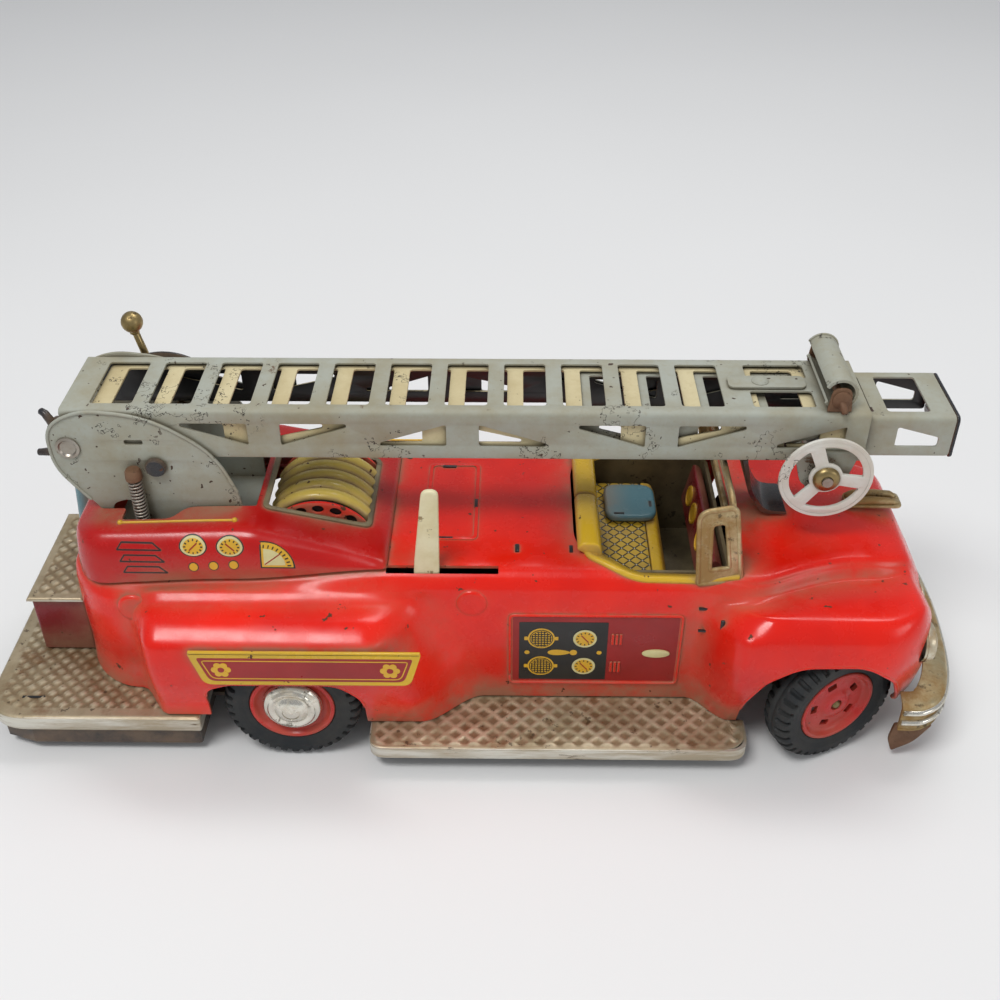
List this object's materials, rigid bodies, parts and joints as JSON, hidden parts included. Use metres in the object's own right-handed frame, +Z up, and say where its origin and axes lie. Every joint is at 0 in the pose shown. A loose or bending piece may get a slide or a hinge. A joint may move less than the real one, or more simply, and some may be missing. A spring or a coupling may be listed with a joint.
{
  "type": "toy fire engine",
  "caption": "Tin toy fire engine with a three-part extending ladder that rises from the rear, steered front wheels and an open cab.",
  "frame": {"origin": "ground level under the middle of the length and width", "axes": "+X to the front, +Y to the vehicle's left, +Z up"},
  "size_m": [0.344, 0.132, 0.1324],
  "materials": {
    "red_enamel": "gloss enamel on tin, dusty and chipped at the edges",
    "dark_red_enamel": "gloss enamel on tin",
    "black_enamel": "gloss enamel on tin",
    "tread_plate": "worn silver lacquer over embossed diamonds, tan with age",
    "cab_tin": "printed tin, worn and dusty",
    "yellow_enamel": "printed enamel on tin",
    "teal_enamel": "printed enamel on tin",
    "worn_chrome": "plating worn through to a gold-brown patina",
    "bare_steel": "dull with spots of rust",
    "grey_paint": "satin grey-green paint with rust chips",
    "cream_paint": "satin cream paint, dusty",
    "cream_plastic": "aged plastic",
    "aged_brass": "tarnished",
    "tyre_rubber": "black rubber with block tread"
  },
  "bodies": {
    "chassis": {"body_shell": "red_enamel", "chassis_plate": "black_enamel", "rear_platform": "tread_plate", "step_box": "dark_red_enamel", "step_box_lid": "tread_plate", "running_board_right": "tread_plate", "running_board_left": "tread_plate", "cab_liner": "cab_tin", "seat_back": "yellow_enamel", "seat_cushion": "yellow_enamel", "driver_lap": "teal_enamel", "dashboard": "dark_red_enamel", "windshield_frame": "worn_chrome", "hood_ornament": "worn_chrome", "grille": "worn_chrome", "headlight_right": "worn_chrome", "headlight_left": "worn_chrome", "front_bumper": "worn_chrome", "bumper_stay_right": "bare_steel", "bumper_stay_left": "bare_steel", "rear_housing": "red_enamel", "hose_reel": "yellow_enamel", "number_plate_right": "yellow_enamel", "number_plate_left": "yellow_enamel", "ladder_bracket": "grey_paint", "lift_quadrant": "black_enamel", "support_spring": "bare_steel", "operator_legs": "teal_enamel", "ladder_rest": "black_enamel", "front_beam": "bare_steel", "motor_frame": "bare_steel"},
    "rear_wheels": {"rear_axle": "bare_steel", "rear_tyre_right": "tyre_rubber", "rear_tyre_left": "tyre_rubber", "rear_rim_right": "dark_red_enamel", "rear_rim_left": "dark_red_enamel", "rear_hubcap_right": "worn_chrome", "rear_hubcap_left": "worn_chrome"},
    "flywheel": {"motor_flywheel": "bare_steel"},
    "steer_knuckle_right": {"stub_axle_right": "bare_steel"},
    "steer_knuckle_left": {"stub_axle_left": "bare_steel"},
    "steering_rod": {"tie_rod": "bare_steel"},
    "front_wheel_right": {"front_tyre_right": "tyre_rubber", "front_rim_right": "dark_red_enamel"},
    "front_wheel_left": {"front_tyre_left": "tyre_rubber", "front_rim_left": "dark_red_enamel", "front_hubcap_left": "worn_chrome"},
    "main_ladder": {"ladder_main": "grey_paint", "latch_strap": "grey_paint", "roller_cover": "grey_paint", "roller_pin": "bare_steel", "cord_guide": "black_enamel", "winch_cradle": "grey_paint"},
    "middle_ladder": {"ladder_mid": "cream_paint"},
    "fly_ladder": {"ladder_fly": "grey_paint", "fly_end_plate": "black_enamel"},
    "winch": {"winch_drum": "bare_steel", "hand_wheel": "cream_paint"},
    "raising_lever": {"lift_lever": "aged_brass"},
    "switch_lever": {"deck_lever": "cream_plastic"}
  },
  "joints": [
    {"name": "rear_axle_spin", "type": "hinge", "parent": "chassis", "child": "rear_wheels", "pos_m": [-0.062, 0, 0.02375], "axis": [0, 1, 0], "continuous": true},
    {"name": "flywheel_spin", "type": "hinge", "parent": "chassis", "child": "flywheel", "pos_m": [-0.046, 0, 0.02375], "axis": [0, 1, 0], "continuous": true},
    {"name": "steer_left", "type": "hinge", "parent": "chassis", "child": "steer_knuckle_left", "pos_m": [0.12, 0.0425, 0.02375], "axis": [0, 0, 1], "range_deg": [-50, 0]},
    {"name": "steer_right", "type": "hinge", "parent": "chassis", "child": "steer_knuckle_right", "pos_m": [0.12, -0.0425, 0.02375], "axis": [0, 0, 1], "range_deg": [-50, 0]},
    {"name": "tie_rod_slide", "type": "slide", "parent": "chassis", "child": "steering_rod", "axis": [0, 1, 0], "range_m": [0, 0.0094]},
    {"name": "front_wheel_right_spin", "type": "hinge", "parent": "steer_knuckle_right", "child": "front_wheel_right", "pos_m": [0.12676, -0.057, 0.02375], "axis": [-0.4226, 0.9063, 0], "continuous": true},
    {"name": "front_wheel_left_spin", "type": "hinge", "parent": "steer_knuckle_left", "child": "front_wheel_left", "pos_m": [0.11324, 0.057, 0.02375], "axis": [-0.4226, 0.9063, 0], "continuous": true},
    {"name": "ladder_raise", "type": "hinge", "parent": "chassis", "child": "main_ladder", "pos_m": [-0.134, 0, 0.105], "axis": [0, -1, 0], "range_deg": [0, 60]},
    {"name": "ladder_extend", "type": "slide", "parent": "main_ladder", "child": "middle_ladder", "axis": [1, 0, 0], "range_m": [0, 0.15]},
    {"name": "fly_extend", "type": "slide", "parent": "middle_ladder", "child": "fly_ladder", "axis": [1, 0, 0], "range_m": [0, 0.075]},
    {"name": "winch_spin", "type": "hinge", "parent": "main_ladder", "child": "winch", "pos_m": [0.1174, 0, 0.0969], "axis": [0, 1, 0], "range_deg": [0, 2388.32]},
    {"name": "raising_lever_turn", "type": "hinge", "parent": "chassis", "child": "raising_lever", "pos_m": [-0.1057, 0, 0.0979], "axis": [0, 1, 0], "range_deg": [-30, 40]},
    {"name": "switch_lever_tilt", "type": "hinge", "parent": "chassis", "child": "switch_lever", "pos_m": [-0.0155, 0, 0.026], "axis": [0, 1, 0], "range_deg": [-9, 22]}
  ],
  "couplings": [
    {"joint": "flywheel_spin", "follows": "rear_axle_spin", "ratio": -3},
    {"joint": "steer_right", "follows": "steer_left", "ratio": 1},
    {"joint": "tie_rod_slide", "follows": "steer_left", "m_per_rad": -0.010654},
    {"joint": "fly_extend", "follows": "ladder_extend", "ratio": 0.5},
    {"joint": "winch_spin", "follows": "ladder_extend", "rad_per_m": 277.78}
  ]
}
